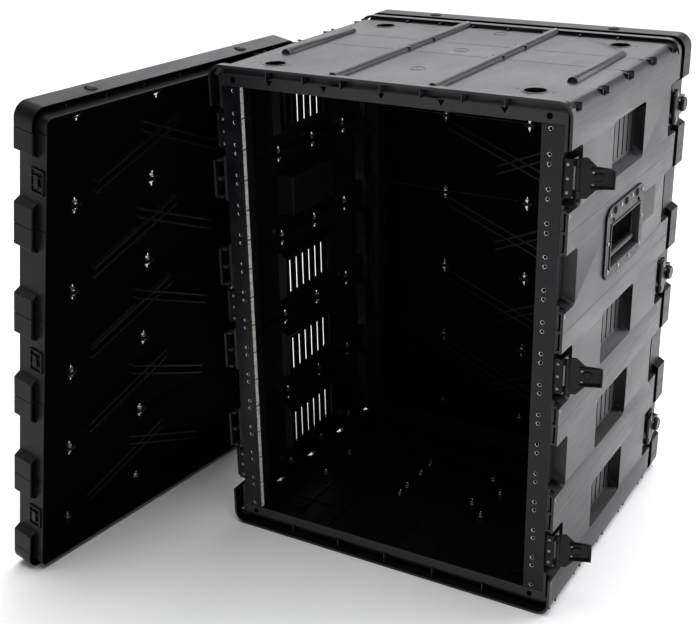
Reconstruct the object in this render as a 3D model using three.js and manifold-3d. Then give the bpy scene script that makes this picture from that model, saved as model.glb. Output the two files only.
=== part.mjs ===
// Fifteen-unit rack case of injection-moulded modules: two caps, ten side modules, four rack
// rails, two lift-off lids, twelve over-edge latches and two recessed carrying handles.
// Millimetres. +X is the case's right, +Y its rear and +Z up. The origin is the centre of the
// footprint on the underside.
import * as THREE from 'three';
import { mergeVertices } from 'three/addons/utils/BufferGeometryUtils.js';
import Module from 'manifold-3d';

const wasm = await Module();
wasm.setup();

// ---- Driving dimensions -------------------------------------------------------------------
const RACK_UNIT = 44.45;
const UNITS = 15;
const MODULE_UNITS = 3;
const MODULE_COUNT = UNITS / MODULE_UNITS;
const MODULE_HEIGHT = MODULE_UNITS * RACK_UNIT;
const BAY_HEIGHT = UNITS * RACK_UNIT;
const CAP_HEIGHT = 31;
const CASE_HEIGHT = BAY_HEIGHT + 2 * CAP_HEIGHT;
const HALF_WIDTH = 265;
const HALF_DEPTH = 218;
const RAIL_INSET = 11;
const RAIL_FACE = HALF_DEPTH - RAIL_INSET;
const WALL = 3.5;
const SEAM = 0.4;
const FIT = 0.3;
const CORNER_RADIUS = 20;

// Sides: edge channel, latch pocket, vent window
const CHANNEL_WIDTH = 6.5;
const CHANNEL_DEPTH = 22;
const SKIN_INSIDE = HALF_WIDTH - WALL;
const CHANNEL_INSIDE = SKIN_INSIDE - CHANNEL_WIDTH;
const POCKET_FLOOR = 247.5;
const POCKET_HALF_HEIGHT = 40;
const POCKET_FLOOR_HALF_HEIGHT = 31;
const POCKET_DEPTH = 39;
const VENT_HALF_WIDTH = 65;
const VENT_HALF_HEIGHT = 40;
const VENT_FLOOR = 250;
const VENT_SLITS = 7;
const SLIT_PITCH = 18.7;
const SLIT_WIDTH = 4.6;
const VENT_FLOOR_WALL = 2;

// Rack rails
const RAIL_INNER = 221;
const RAIL_OUTER = 250;
const RAIL_THICKNESS = 2;
const RAIL_RETURN = 25;
const HOLE_COLUMN = 232.55;
const HOLE_OFFSET = 6.35;
const HOLE_RADIUS = 3.4;
const SCALE_WIDTH = 6.5;

// Caps
const RIM_BAND = 12;
const RIM_RISE = 5;
const BEAM_HEIGHT = 15;
const SOCKET_X = 192;
const SOCKET_Y = 159;
const SOCKET_RADIUS = 14.5;
const SOCKET_DEPTH = 8;
const LONG_RIB_X = 73;
const SHORT_RIB_X = 216;
const SHORT_RIB_HALF = 95;
const RIB_WIDTH = 15;
const RIB_RISE = 7;
const SCOOP_RADIUS = 11;
const SCOOP_PITCH = 97;

// Lids
const LID_DEPTH = 50;
const LID_WALL_X = 255;
const LID_TONGUE = 16;
const LOBE_HALF = 38;
const LOBE_RAMP = 8;
const LID_GAP = 1;
const LID_TURN = -95.5;
const LID_LEAN = 10.05;
const LID_FOOT = [-457.5, -479.5, 0];
const RIB_HIGH = [127, 127];
const RIB_LOW = [-38, 59];
const RIB_THICKNESS = 4;
const RIB_SPACING = 14;
const RIB_DEPTH = 8;

// Latches
const HINGE_X = 266;
const HINGE_BACK = 21;
const HINGE_Y = HALF_DEPTH - HINGE_BACK;
const LEVER_LENGTH = 44;
const KNUCKLE_RADIUS = 3;
const LATCH_MODULES = [1, 3, 5];
const OPEN_RIGHT = 111;
const OPEN_LEFT = 150;

// Handles
const HANDLE_MODULE = 2;
const HANDLE_HALF_WIDTH = 77.5;
const HANDLE_TOP = 57;
const HANDLE_BOTTOM = -46;
const CUP_HALF_WIDTH = 57.5;
const CUP_HALF_HEIGHT = 29;
const CUP_DEPTH = 30;
const BAIL_PIVOT_X = 258;
const BAIL_PIVOT_RISE = 22;

// ---- Materials ----------------------------------------------------------------------------
const satin = (hex, roughness, metalness) => {
  return new THREE.MeshStandardMaterial({ color: hex, roughness, metalness });
};
const MOULDED = () => satin(0x2b2a2d, 0.45, 0);
const LID_PLASTIC = () => satin(0x262528, 0.4, 0);
const STEEL_BLACK = () => satin(0x19181b, 0.3, 0.8);
const SCALE_WHITE = () => satin(0xd8d6d0, 0.5, 0);

// ---- Solid helpers ------------------------------------------------------------------------
function toSolid(geometry) {
  const bare = geometry.index ? geometry.toNonIndexed() : geometry.clone();
  bare.deleteAttribute('normal');
  bare.deleteAttribute('uv');
  const merged = mergeVertices(bare, 1e-4);
  const mesh = new wasm.Mesh({
    numProp: 3,
    vertProperties: Float32Array.from(merged.attributes.position.array),
    triVerts: Uint32Array.from(merged.index.array),
  });
  return new wasm.Manifold(mesh);
}

function toGeometry(solid) {
  const mesh = solid.getMesh();
  const geometry = new THREE.BufferGeometry();
  const positions = Float32Array.from(mesh.vertProperties);
  geometry.setAttribute('position', new THREE.BufferAttribute(positions, 3));
  geometry.setIndex(new THREE.BufferAttribute(Uint32Array.from(mesh.triVerts), 1));
  geometry.computeVertexNormals();
  return geometry;
}

const union = (solids) => solids.reduce((sum, solid) => sum.add(solid));
const cut = (solid, tools) => tools.reduce((rest, tool) => rest.subtract(tool), solid);

function box(x0, x1, y0, y1, z0, z1) {
  const geometry = new THREE.BoxGeometry(x1 - x0, y1 - y0, z1 - z0);
  geometry.translate((x0 + x1) / 2, (y0 + y1) / 2, (z0 + z1) / 2);
  return toSolid(geometry);
}

function outline(points) {
  return new THREE.Shape(points.map(([a, b]) => new THREE.Vector2(a, b)));
}

function extrude(shape, length, curveSegments = 4) {
  return new THREE.ExtrudeGeometry(shape, { depth: length, bevelEnabled: false, curveSegments });
}

// Outline in X and Y, run along Z
function prismZ(points, z0, z1) {
  return toSolid(extrude(outline(points), z1 - z0).translate(0, 0, z0));
}

// Outline in X and Z, run along Y
function prismY(shapeOrPoints, y0, y1) {
  const shape = Array.isArray(shapeOrPoints) ? outline(shapeOrPoints) : shapeOrPoints;
  const geometry = extrude(shape, y1 - y0);
  geometry.rotateX(Math.PI / 2);
  geometry.translate(0, y1, 0);
  return toSolid(geometry);
}

// Outline in Y and Z, run along X
function prismX(points, x0, x1) {
  const geometry = extrude(outline(points), x1 - x0);
  const turn = new THREE.Matrix4().makeBasis(
    new THREE.Vector3(0, 1, 0),
    new THREE.Vector3(0, 0, 1),
    new THREE.Vector3(1, 0, 0),
  );
  geometry.applyMatrix4(turn);
  geometry.translate(x0, 0, 0);
  return toSolid(geometry);
}

function rod(axis, radius, from, to, at, sides) {
  const geometry = new THREE.CylinderGeometry(radius, radius, to - from, sides);
  const middle = (from + to) / 2;
  if (axis === 'z') {
    geometry.rotateX(Math.PI / 2);
    geometry.translate(at[0], at[1], middle);
  } else if (axis === 'x') {
    geometry.rotateZ(Math.PI / 2);
    geometry.translate(middle, at[0], at[1]);
  } else {
    geometry.translate(at[0], middle, at[1]);
  }
  return toSolid(geometry);
}

// Mirror across the plane through the origin that is normal to X, Y or Z
function mirrored(geometry, axis) {
  const copy = geometry.clone();
  const factor = { x: [-1, 1, 1], y: [1, -1, 1], z: [1, 1, -1] }[axis];
  copy.scale(...factor);
  const order = copy.index.array;
  for (let i = 0; i < order.length; i += 3) {
    [order[i], order[i + 1]] = [order[i + 1], order[i]];
  }
  copy.computeVertexNormals();
  return copy;
}

function addPart(group, name, geometry, material) {
  const mesh = new THREE.Mesh(geometry, material);
  mesh.name = name;
  group.add(mesh);
  return mesh;
}

// Bottom of a side module, counted from the top of the case
const moduleBase = (number) => CASE_HEIGHT - CAP_HEIGHT - number * MODULE_HEIGHT;
const moduleCentre = (number) => moduleBase(number) + MODULE_HEIGHT / 2;

// ---- Side module (right-hand side, base at z = 0) -----------------------------------------
// Half of the wall's plan outline, from the rear rim in to the skin
function edgeOutline() {
  const rim = HALF_DEPTH;
  const root = HALF_DEPTH - CHANNEL_DEPTH;
  const inner = CHANNEL_INSIDE - WALL;
  const ledge = RAIL_FACE - RAIL_THICKNESS - FIT;
  return [
    [HALF_WIDTH, rim],
    [SKIN_INSIDE, rim],
    [SKIN_INSIDE, root],
    [CHANNEL_INSIDE, root],
    [CHANNEL_INSIDE, RAIL_FACE],
    [RAIL_OUTER + FIT, RAIL_FACE],
    [RAIL_OUTER + FIT, ledge],
    [RAIL_OUTER - 7, ledge],
    [RAIL_OUTER - 7, ledge - WALL],
    [inner, ledge - WALL],
    [inner, root - WALL],
    [SKIN_INSIDE, root - WALL],
  ];
}

function wallSection(height) {
  const rear = edgeOutline();
  const front = edgeOutline().map(([x, y]) => [x, -y]).reverse();
  return prismZ([...rear, ...front], 0, height);
}

// Sloped-top-and-bottom recess in the outer face, as an outline in X and Z
function recessOutline(middle, halfOuter, halfFloor, floor, grow) {
  const outer = HALF_WIDTH + (grow > 0 ? 0 : 1);
  return [
    [outer, middle - halfOuter - grow],
    [outer, middle + halfOuter + grow],
    [floor - grow, middle + halfFloor + grow],
    [floor - grow, middle - halfFloor - grow],
  ];
}

function pocket(direction, middle) {
  const back = HALF_DEPTH - POCKET_DEPTH;
  const ledge = RAIL_FACE - RAIL_THICKNESS - FIT;
  const spans = direction > 0 ? [[back - WALL, ledge], [back, HALF_DEPTH + 1]]
    : [[-ledge, -back + WALL], [-HALF_DEPTH - 1, -back]];
  const sizes = [middle, POCKET_HALF_HEIGHT, POCKET_FLOOR_HALF_HEIGHT, POCKET_FLOOR];
  return {
    tub: prismY(recessOutline(...sizes, 3), ...spans[0]),
    hollow: prismY(recessOutline(...sizes, 0), ...spans[1]),
  };
}

function sideModule(number) {
  const height = MODULE_HEIGHT - SEAM;
  const middle = height / 2;
  const solids = [wallSection(height)];
  const tools = [];
  for (const direction of [-1, 1]) {
    const { tub, hollow } = pocket(direction, middle);
    solids.push(tub);
    tools.push(hollow);
  }
  // Flanges where neighbouring modules are screwed together
  const flange = 12;
  for (const z of [0, height - 3]) {
    solids.push(box(SKIN_INSIDE - flange, SKIN_INSIDE + 1, -175, 175, z, z + 3));
  }
  if (number === HANDLE_MODULE) {
    const clear = 5;
    const halfWidth = CUP_HALF_WIDTH + clear;
    const halfHeight = CUP_HALF_HEIGHT + clear;
    tools.push(box(230, HALF_WIDTH + 1, -halfWidth, halfWidth, middle - halfHeight,
      middle + halfHeight));
  } else {
    const sizes = [middle, VENT_HALF_HEIGHT, VENT_HALF_HEIGHT - 9, VENT_FLOOR];
    const wide = VENT_HALF_WIDTH;
    const tray = recessOutline(...sizes, VENT_FLOOR_WALL);
    solids.push(prismY(tray, -wide - WALL, wide + WALL));
    tools.push(prismY(recessOutline(...sizes, 0), -wide, wide));
    for (let i = 0; i < VENT_SLITS; i += 1) {
      const y = (i - (VENT_SLITS - 1) / 2) * SLIT_PITCH;
      tools.push(box(VENT_FLOOR - 12, VENT_FLOOR + 1, y - SLIT_WIDTH / 2, y + SLIT_WIDTH / 2,
        middle - 27, middle + 27));
    }
  }
  return toGeometry(cut(union(solids), tools));
}

// ---- Caps ---------------------------------------------------------------------------------
// Cap outline in X and Z: flat seam at z = 0, rounded upper corners
function capShape(halfWidth, top, radius) {
  const shape = new THREE.Shape();
  shape.moveTo(-halfWidth, 0);
  shape.lineTo(halfWidth, 0);
  shape.lineTo(halfWidth, top - radius);
  shape.absarc(halfWidth - radius, top - radius, radius, 0, Math.PI / 2, false);
  shape.absarc(-halfWidth + radius, top - radius, radius, Math.PI / 2, Math.PI, false);
  shape.lineTo(-halfWidth, 0);
  return shape;
}

function capBody(mainTop) {
  const rimTop = CAP_HEIGHT;
  const rimInside = HALF_DEPTH - RIM_BAND;
  const root = HALF_DEPTH - CHANNEL_DEPTH;
  const rim = (y0, y1) => prismY(capShape(HALF_WIDTH, rimTop, CORNER_RADIUS), y0, y1);
  const shell = union([
    prismY(capShape(HALF_WIDTH, mainTop, CORNER_RADIUS), -rimInside - 1, rimInside + 1),
    rim(-HALF_DEPTH, -rimInside),
    rim(rimInside, HALF_DEPTH),
  ]);
  const insideTop = Math.min(mainTop, rimTop - RIM_RISE) - WALL;
  const insideHalf = root - WALL;
  const cavity = prismY(capShape(SKIN_INSIDE, insideTop, CORNER_RADIUS - WALL),
    -insideHalf, insideHalf).translate([0, 0, -0.01]);
  const below = box(-SKIN_INSIDE, SKIN_INSIDE, -insideHalf, insideHalf, -1, 0.5);
  const tools = [cavity, below];
  const beamHalf = CHANNEL_INSIDE;
  for (const direction of [-1, 1]) {
    const between = (a, b) => (direction > 0 ? [a, b] : [-b, -a]);
    const inset = capShape(SKIN_INSIDE, rimTop - WALL, CORNER_RADIUS - WALL);
    const channel = prismY(inset, ...between(root, HALF_DEPTH + 1));
    const under = box(-SKIN_INSIDE, SKIN_INSIDE, ...between(root, HALF_DEPTH + 1), -1, 0.5);
    const beam = box(-beamHalf, beamHalf, ...between(root - 1, RAIL_FACE), -2, BEAM_HEIGHT);
    tools.push(channel.add(under).subtract(beam));
    const behind = between(insideHalf - 1, RAIL_FACE - WALL);
    tools.push(box(WALL - beamHalf, beamHalf - WALL, ...behind, -1, BEAM_HEIGHT - WALL));
  }
  return cut(shell, tools);
}

// Thin webs that tie the rim to the beam across the channel
function channelWebs(pitch, eachSide) {
  const webs = [];
  for (let i = -eachSide; i <= eachSide; i += 1) {
    for (const direction of [-1, 1]) {
      const y0 = direction > 0 ? 195 : -212;
      const x = i * pitch;
      webs.push(box(x - 0.8, x + 0.8, y0, y0 + 17, BEAM_HEIGHT - 1, CAP_HEIGHT - WALL + 1));
    }
  }
  return webs;
}

function scoops(floor) {
  const tools = [];
  for (let i = -2; i <= 2; i += 1) {
    for (const side of [-1, 1]) {
      const at = [side * (HALF_WIDTH - 3), i * SCOOP_PITCH];
      tools.push(rod('z', SCOOP_RADIUS, floor, CAP_HEIGHT + 5, at, 8));
    }
  }
  return tools;
}

// Half-round stacking rib on the cap, as an outline in X and Z
function stackingRib(x, base) {
  const half = RIB_WIDTH / 2;
  const points = [[x - half, base - 1], [x + half, base - 1]];
  const steps = 4;
  for (let i = 0; i <= steps; i += 1) {
    const angle = (Math.PI * i) / steps;
    points.push([x + half * Math.cos(angle), base + RIB_RISE * Math.sin(angle)]);
  }
  return points;
}

function topCap() {
  const surface = CAP_HEIGHT - RIM_RISE;
  const solids = [capBody(surface), ...channelWebs(58, 3)];
  for (const side of [-1, 1]) {
    solids.push(prismY(stackingRib(side * LONG_RIB_X, surface), -205, 210));
    solids.push(prismY(stackingRib(side * SHORT_RIB_X, surface), -SHORT_RIB_HALF,
      SHORT_RIB_HALF));
  }
  const tools = scoops(surface - 11);
  for (const x of [-SOCKET_X, SOCKET_X]) {
    for (const y of [-SOCKET_Y, SOCKET_Y]) {
      const floor = surface - SOCKET_DEPTH;
      solids.push(rod('z', SOCKET_RADIUS + WALL, floor - WALL, surface - 1, [x, y], 12));
      tools.push(rod('z', SOCKET_RADIUS, floor, surface + 2, [x, y], 12));
    }
  }
  return toGeometry(cut(union(solids), tools));
}

function bottomCap() {
  const solids = [capBody(CAP_HEIGHT), ...channelWebs(80, 2)];
  return toGeometry(cut(union(solids), scoops(CAP_HEIGHT - 16)));
}

// ---- Rack rails ---------------------------------------------------------------------------
// Front right-hand rail; z = 0 is the bottom of the rack bay
function rackRail(sides) {
  const z0 = 0.5;
  const z1 = BAY_HEIGHT - 0.5;
  const face = -RAIL_FACE;
  const back = face + RAIL_THICKNESS;
  const inner = RAIL_INNER + RAIL_THICKNESS;
  const section = prismZ([
    [RAIL_INNER, face],
    [RAIL_OUTER, face],
    [RAIL_OUTER, back],
    [inner, back],
    [inner, face + RAIL_RETURN],
    [RAIL_INNER, face + RAIL_RETURN],
  ], z0, z1);
  const heights = [];
  for (let unit = 0; unit < UNITS; unit += 1) {
    heights.push(unit * RACK_UNIT + HOLE_OFFSET, (unit + 1) * RACK_UNIT - HOLE_OFFSET);
  }
  const holes = heights.map((z) => {
    return rod('y', HOLE_RADIUS, face - 1, back + 1, [HOLE_COLUMN, z], sides);
  });
  return toGeometry(cut(section, holes));
}

// ---- Lids ---------------------------------------------------------------------------------
// Lid frame: rim plane at y = 0, outer face at y = -LID_DEPTH, inside towards +Y
function lobe(bottom, top, rampAtTop) {
  const inner = LID_WALL_X - WALL;
  const shape = (grow) => {
    const outer = HALF_WIDTH - grow;
    const end = rampAtTop ? top - grow : bottom + grow;
    const turn = rampAtTop ? end - LOBE_RAMP : end + LOBE_RAMP;
    const seam = rampAtTop ? bottom - grow : top + grow;
    const inside = grow > 0 ? LID_WALL_X : inner;
    return [[inside, seam], [outer, seam], [outer, turn], [inside, end]];
  };
  const block = prismY(shape(0), -LID_DEPTH, -LID_TONGUE);
  const hollow = prismY(shape(WALL), -LID_DEPTH + WALL, 1);
  return block.subtract(hollow);
}

function lidModule(withKeeper) {
  const height = MODULE_HEIGHT - SEAM;
  const inner = LID_WALL_X - WALL;
  const solids = [box(-inner - 1, inner + 1, -LID_DEPTH, -LID_DEPTH + WALL, 0, height)];
  const right = [
    box(inner, LID_WALL_X, -LID_DEPTH, 0, 0, height),
    lobe(0, LOBE_HALF, true),
    lobe(height - LOBE_HALF, height, false),
  ];
  if (withKeeper) {
    const middle = height / 2;
    right.push(box(LID_WALL_X - 1, 258.6, -20, -12, middle - 9, middle + 9));
  }
  const wall = toGeometry(union(right));
  solids.push(toSolid(wall), toSolid(mirrored(wall, 'x')));
  solids.push(...crossedRibs());
  return toGeometry(union(solids));
}

// Two pairs of stiffening ribs that cross in the middle of the panel
function crossedRibs() {
  const [highX, highZ] = RIB_HIGH;
  const [lowX, lowZ] = RIB_LOW;
  const ribs = [];
  for (const drop of [0, RIB_SPACING]) {
    const arm = toGeometry(prismY([
      [lowX, lowZ - drop - RIB_THICKNESS],
      [highX, highZ - drop - RIB_THICKNESS],
      [highX, highZ - drop],
      [lowX, lowZ - drop],
    ], 1 - LID_DEPTH, WALL + RIB_DEPTH - LID_DEPTH));
    ribs.push(toSolid(arm), toSolid(mirrored(arm, 'x')));
  }
  return ribs;
}

function lidCap() {
  const back = -LID_DEPTH + WALL;
  const step = HALF_WIDTH - LID_WALL_X;
  const dome = (inset, y0, y1) => {
    return prismY(capShape(HALF_WIDTH - inset, CAP_HEIGHT - inset, CORNER_RADIUS - inset), y0, y1);
  };
  // A cutter runs on through the seam plane, so that the cap is open below
  const cutter = (inset) => {
    const half = HALF_WIDTH - inset;
    return dome(inset, back, 1).add(box(-half, half, back, 1, -1, 0.5));
  };
  const skin = dome(0, -LID_DEPTH, -LID_TONGUE).subtract(cutter(WALL));
  const tongue = dome(step, back - 1, 0).subtract(cutter(step + WALL));
  return toGeometry(skin.add(tongue));
}

// Both lids are the same mouldings; a turned lid has its panels upside down
function buildLid(prefix, turned) {
  const lid = new THREE.Group();
  const cap = lidCap();
  const top = addPart(lid, `${prefix}_lid_top_cap`, cap, LID_PLASTIC());
  top.position.z = CASE_HEIGHT - CAP_HEIGHT;
  const bottom = addPart(lid, `${prefix}_lid_bottom_cap`, mirrored(cap, 'z'), LID_PLASTIC());
  bottom.position.z = CAP_HEIGHT;
  const [plain, latched] = [false, true].map((withKeeper) => {
    const panel = lidModule(withKeeper);
    return turned ? mirrored(panel, 'z').translate(0, 0, MODULE_HEIGHT - SEAM) : panel;
  });
  for (let number = 1; number <= MODULE_COUNT; number += 1) {
    const geometry = LATCH_MODULES.includes(number) ? latched : plain;
    const panel = addPart(lid, `${prefix}_lid_panel_${number}`, geometry.clone(), LID_PLASTIC());
    panel.position.z = moduleBase(number) + SEAM / 2;
  }
  return lid;
}

// ---- Latches ------------------------------------------------------------------------------
// Latch frame: hinge axis on Z through the origin; a closed lever points along -Y
function latchBase() {
  const bracket = prismZ([
    [-18, -6],
    [-4, -6],
    [-4, 17],
    [-6, 17],
    [-6, -4],
    [-16, -4],
    [-16, 17],
    [-18, 17],
  ], -25, 25);
  const solids = [bracket];
  for (const [z0, z1] of [[15, 24], [-24, -15]]) {
    solids.push(rod('z', KNUCKLE_RADIUS, z0, z1, [0, 0], 8));
    solids.push(box(-5, 0, -1.5, 1.5, z0, z1));
  }
  return toGeometry(union(solids));
}

function latchLever() {
  const tip = -LEVER_LENGTH;
  const plate = prismX([
    [-3.5, -26],
    [-3.5, 26],
    [-12, 26],
    [-23, 15],
    [tip, 12.5],
    [tip, -12.5],
    [-23, -15],
    [-12, -26],
  ], 0.5, 2.5);
  const solids = [
    plate,
    rod('z', KNUCKLE_RADIUS, -14.5, 14.5, [0, 0], 8),
    box(0.5, 2.5, -4, 0, -14.5, 14.5),
    box(-6.5, 2.5, tip - 1.5, tip + 0.5, -11.5, 11.5),
    rod('x', 10, 2, 8, [-32, 0], 8),
  ];
  for (const z of [-12.5, 11]) {
    solids.push(box(-4, 1, tip, -16, z, z + 1.5));
  }
  return toGeometry(union(solids));
}

function addLatches(group) {
  const base = latchBase();
  const lever = latchLever();
  for (const [end, yAxis] of [['front', -1], ['rear', 1]]) {
    for (const [side, xAxis] of [['right', 1], ['left', -1]]) {
      let baseShape = base;
      let leverShape = lever;
      if (yAxis > 0) {
        baseShape = mirrored(baseShape, 'y');
        leverShape = mirrored(leverShape, 'y');
      }
      if (xAxis < 0) {
        baseShape = mirrored(baseShape, 'x');
        leverShape = mirrored(leverShape, 'x');
      }
      const openAngle = side === 'right' ? OPEN_RIGHT : OPEN_LEFT;
      const turn = end === 'front' ? xAxis * openAngle : 0;
      for (const number of LATCH_MODULES) {
        const place = [xAxis * HINGE_X, yAxis * HINGE_Y, moduleCentre(number)];
        const tag = `${end}_${side}_${number}`;
        const fixed = addPart(group, `latch_base_${tag}`, baseShape.clone(), STEEL_BLACK());
        fixed.position.set(...place);
        const moving = addPart(group, `latch_lever_${tag}`, leverShape.clone(), STEEL_BLACK());
        moving.position.set(...place);
        moving.rotation.z = THREE.MathUtils.degToRad(turn);
      }
    }
  }
}

// ---- Carrying handles (right-hand side, z = 0 at the module's middle) ----------------------
function handlePlate() {
  const face = HALF_WIDTH + FIT;
  const front = face + 2.5;
  const chamfer = 11;
  const wide = HANDLE_HALF_WIDTH;
  const plate = prismX([
    [-wide + chamfer, HANDLE_BOTTOM],
    [wide - chamfer, HANDLE_BOTTOM],
    [wide, HANDLE_BOTTOM + chamfer],
    [wide, HANDLE_TOP - chamfer],
    [wide - chamfer, HANDLE_TOP],
    [-wide + chamfer, HANDLE_TOP],
    [-wide, HANDLE_TOP - chamfer],
    [-wide, HANDLE_BOTTOM + chamfer],
  ], face, front);
  const halfY = CUP_HALF_WIDTH;
  const halfZ = CUP_HALF_HEIGHT;
  const sheet = 2.5;
  const bottom = HALF_WIDTH - CUP_DEPTH;
  const cup = box(bottom, face + 1, -halfY - sheet, halfY + sheet, -halfZ - sheet,
    halfZ + sheet);
  const hollow = box(bottom + sheet, front + 1, -halfY, halfY, -halfZ, halfZ);
  return toGeometry(cut(union([plate, cup]), [hollow]));
}

// Bail frame: pivot axis on Y through the origin, grip hanging in the cup
function handleBail() {
  const solids = [rod('y', 6, -50, 50, [0, -40], 10)];
  for (const side of [-1, 1]) {
    const arm = side > 0 ? [47, 52] : [-52, -47];
    solids.push(box(-3, 3, ...arm, -42, 3.5));
    const pin = side > 0 ? [50, 57] : [-57, -50];
    solids.push(rod('y', 2.5, ...pin, [0, 0], 8));
  }
  return toGeometry(union(solids));
}

// ---- Assembly -----------------------------------------------------------------------------
const rackCase = new THREE.Group();

const top = addPart(rackCase, 'top_panel', topCap(), MOULDED());
top.position.z = CASE_HEIGHT - CAP_HEIGHT;
const bottom = addPart(rackCase, 'bottom_panel', mirrored(bottomCap(), 'z'), MOULDED());
bottom.position.z = CAP_HEIGHT;

const ventModule = sideModule(1);
const gripModule = sideModule(HANDLE_MODULE);
for (let number = 1; number <= MODULE_COUNT; number += 1) {
  const shape = number === HANDLE_MODULE ? gripModule : ventModule;
  const sides = { right: shape.clone(), left: mirrored(shape, 'x') };
  for (const [side, geometry] of Object.entries(sides)) {
    const panel = addPart(rackCase, `side_${side}_${number}`, geometry, MOULDED());
    panel.position.z = moduleBase(number) + SEAM / 2;
  }
}

const frontRail = rackRail(6);
const rearRail = mirrored(rackRail(4), 'y');
const rails = {
  rail_front_right: frontRail,
  rail_front_left: mirrored(frontRail, 'x'),
  rail_rear_right: rearRail,
  rail_rear_left: mirrored(rearRail, 'x'),
};
for (const [name, geometry] of Object.entries(rails)) {
  addPart(rackCase, name, geometry, STEEL_BLACK()).position.z = CAP_HEIGHT;
}

const strip = new THREE.BoxGeometry(0.6, SCALE_WIDTH, BAY_HEIGHT - 2);
const scale = addPart(rackCase, 'rack_unit_scale', strip, SCALE_WHITE());
scale.position.set(-RAIL_INNER + FIT + 0.3, -RAIL_FACE + 0.5 + SCALE_WIDTH / 2, CASE_HEIGHT / 2);

addLatches(rackCase);

const plate = handlePlate();
const bail = handleBail();
for (const [side, xAxis] of [['right', 1], ['left', -1]]) {
  const height = moduleCentre(HANDLE_MODULE);
  const plateShape = xAxis > 0 ? plate : mirrored(plate, 'x');
  const bailShape = xAxis > 0 ? bail : mirrored(bail, 'x');
  addPart(rackCase, `handle_plate_${side}`, plateShape, STEEL_BLACK()).position.z = height;
  const grip = addPart(rackCase, `handle_bail_${side}`, bailShape, STEEL_BLACK());
  grip.position.set(xAxis * BAIL_PIVOT_X, 0, height + BAIL_PIVOT_RISE);
}

const rearLid = buildLid('rear', false);
rearLid.rotation.z = Math.PI;
rearLid.position.y = HALF_DEPTH + LID_GAP;
rackCase.add(rearLid);

// The front lid is off its latches: it stands on its rim and leans towards the left side
const frontLid = buildLid('front', true);
frontLid.rotation.order = 'ZXY';
frontLid.rotation.z = THREE.MathUtils.degToRad(LID_TURN);
frontLid.rotation.x = THREE.MathUtils.degToRad(-LID_LEAN);
const corner = new THREE.Vector3(HALF_WIDTH, -LID_TONGUE, 0).applyEuler(frontLid.rotation);
frontLid.position.set(...LID_FOOT).sub(corner);
rackCase.add(frontLid);

export default rackCase;
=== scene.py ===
import math

import bmesh
import bpy
from mathutils import Matrix, Vector


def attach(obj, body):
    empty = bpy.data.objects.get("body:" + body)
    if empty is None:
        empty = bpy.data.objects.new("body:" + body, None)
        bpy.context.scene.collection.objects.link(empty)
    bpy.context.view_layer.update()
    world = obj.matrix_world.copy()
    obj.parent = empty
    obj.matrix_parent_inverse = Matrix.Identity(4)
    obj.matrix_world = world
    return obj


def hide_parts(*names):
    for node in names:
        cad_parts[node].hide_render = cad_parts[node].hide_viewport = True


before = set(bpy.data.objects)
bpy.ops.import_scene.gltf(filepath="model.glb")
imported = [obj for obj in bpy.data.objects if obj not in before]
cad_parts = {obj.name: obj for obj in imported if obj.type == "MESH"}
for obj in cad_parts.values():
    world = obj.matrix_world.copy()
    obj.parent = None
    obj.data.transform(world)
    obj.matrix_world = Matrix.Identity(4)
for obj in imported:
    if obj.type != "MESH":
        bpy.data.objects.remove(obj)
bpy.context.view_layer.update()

# ---- Sizes shared with the CAD, in millimetres ----------------------------------------------
UNIT = 44.45
UNITS = 15
HOLE_OFFSET = 6.35
MODULE = 3 * UNIT
MODULES = range(1, 6)
CAP = 31.0
CASE_HEIGHT = UNIT * UNITS + 2 * CAP
HALF_WIDTH = 265.0
HALF_DEPTH = 218.0
TOP_SURFACE = CASE_HEIGHT - 5.0
BOTTOM_FLOOR = 8.5
BEAM_TOP = CASE_HEIGHT - CAP + 15.0
RAIL_FACE = 207.0
RAIL_INNER = 221.1
RAIL_OUTER = 249.8
HOLE_COLUMN = 232.55
HOLE_RADIUS = 3.4
SOCKETS = [(x, y) for x in (-192, 192) for y in (-159, 159)]
HINGE_X = 266.0
HINGE_Y = 197.0
LATCH_MODULES = (1, 3, 5)
HANDLE_MODULE = 2
HANDLE_FACE = 267.7
LID_DEPTH = 50.0
LID_WALL = 3.5
LID_TONGUE = 16.0
LID_RIB_CREST = 38.5
LID_GAP = 1.0
# Rest pose of the front lid: degrees about Z, then about its own X, and where its lower outer
# rim corner stands
LID_TURN = -95.5
LID_LEAN = -10.05
LID_FOOT = (-457.5, -479.5, 0)

# ---- Sizes of the moulded and fitted details, in millimetres ---------------------------------
LONG_RIBS = (-73, 73)
LONG_RIB_ENDS = (-205.4, 210.5)
SHORT_RIBS = (-216, 216)
SHORT_RIB_ENDS = (-95.5, 95.5)
RIB_WIDTH = 15.8
RIB_RISE = 7.5
TOP_SEAMS = (-1.0, 77.0)
TOP_MARKS = (-104, 33, 170)
SCOOP_PITCH = 97
SCOOP_SHADE_RADIUS = 12.4
ARROW_PITCH = 86
WALL_BOLTS = (-162, -66, 30, 126)
WALL_BOLT_X = 255.6
# The front lid is turned over, so its bolt columns are on the other side
LID_BOLTS = {"front": (18, 168), "rear": (-168, -18, 132)}

# Degrees each lever is turned about its vertical hinge at rest. The rear ones are closed.
LEVER_TURNS = {("front", "right"): 111.0, ("front", "left"): -150.0}

SIDES = {"right": 1, "left": -1}
ENDS = {"front": -1, "rear": 1}
SEAMS = [CAP + MODULE * i for i in range(6)]


def module_centre(number):
    return CASE_HEIGHT - CAP - (number - 0.5) * MODULE


def leaning_lid():
    """Frame of the front lid, standing on the floor and leaning toward the left side."""
    turned = Matrix.Rotation(math.radians(LID_TURN), 4, "Z")
    turned = turned @ Matrix.Rotation(math.radians(LID_LEAN), 4, "X")
    corner = turned @ Vector((HALF_WIDTH, -LID_TONGUE, 0))
    return Matrix.Translation(Vector(LID_FOOT) - corner) @ turned


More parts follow.
